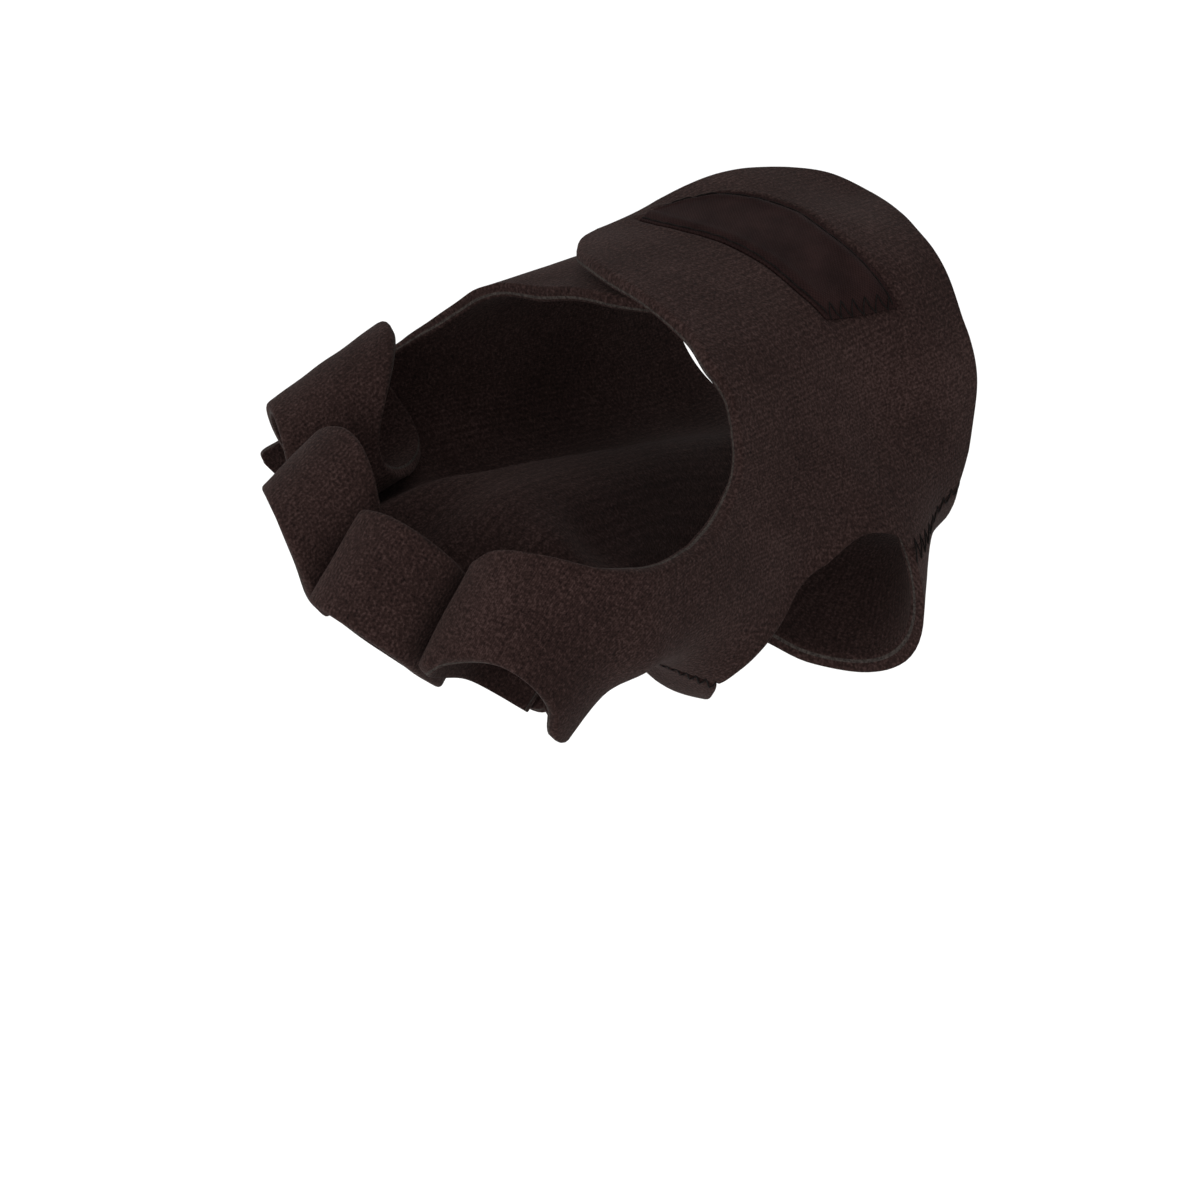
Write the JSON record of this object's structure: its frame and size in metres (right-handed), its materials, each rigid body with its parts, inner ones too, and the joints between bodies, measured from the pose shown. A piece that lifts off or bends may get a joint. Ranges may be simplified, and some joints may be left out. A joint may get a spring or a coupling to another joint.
{
  "type": "weightlifting glove",
  "caption": "Open-back fingerless sports glove for the right hand, with loops round the fingers, a thumb opening and a wide wrist strap that closes over the back of the wrist.",
  "frame": {"origin": "centre of the wrist, where the worn glove is held", "axes": "+X towards the thumb, +Y up the forearm, +Z out of the back of the hand; the fingers point to -Y"},
  "size_m": [0.1082, 0.1355, 0.0702],
  "materials": {
    "neoprene": "matt knitted jersey on neoprene foam",
    "hook_cloth": "matt hook tape",
    "woven_label": "smooth woven tape with a slight sheen"
  },
  "bodies": {
    "root": {"back_wrap": "neoprene", "palm_panel": "neoprene", "loop_middle": "neoprene", "loop_ring": "neoprene", "loop_little": "neoprene", "hook_patch": "hook_cloth", "label_patch": "woven_label"}
  },
  "joints": []
}
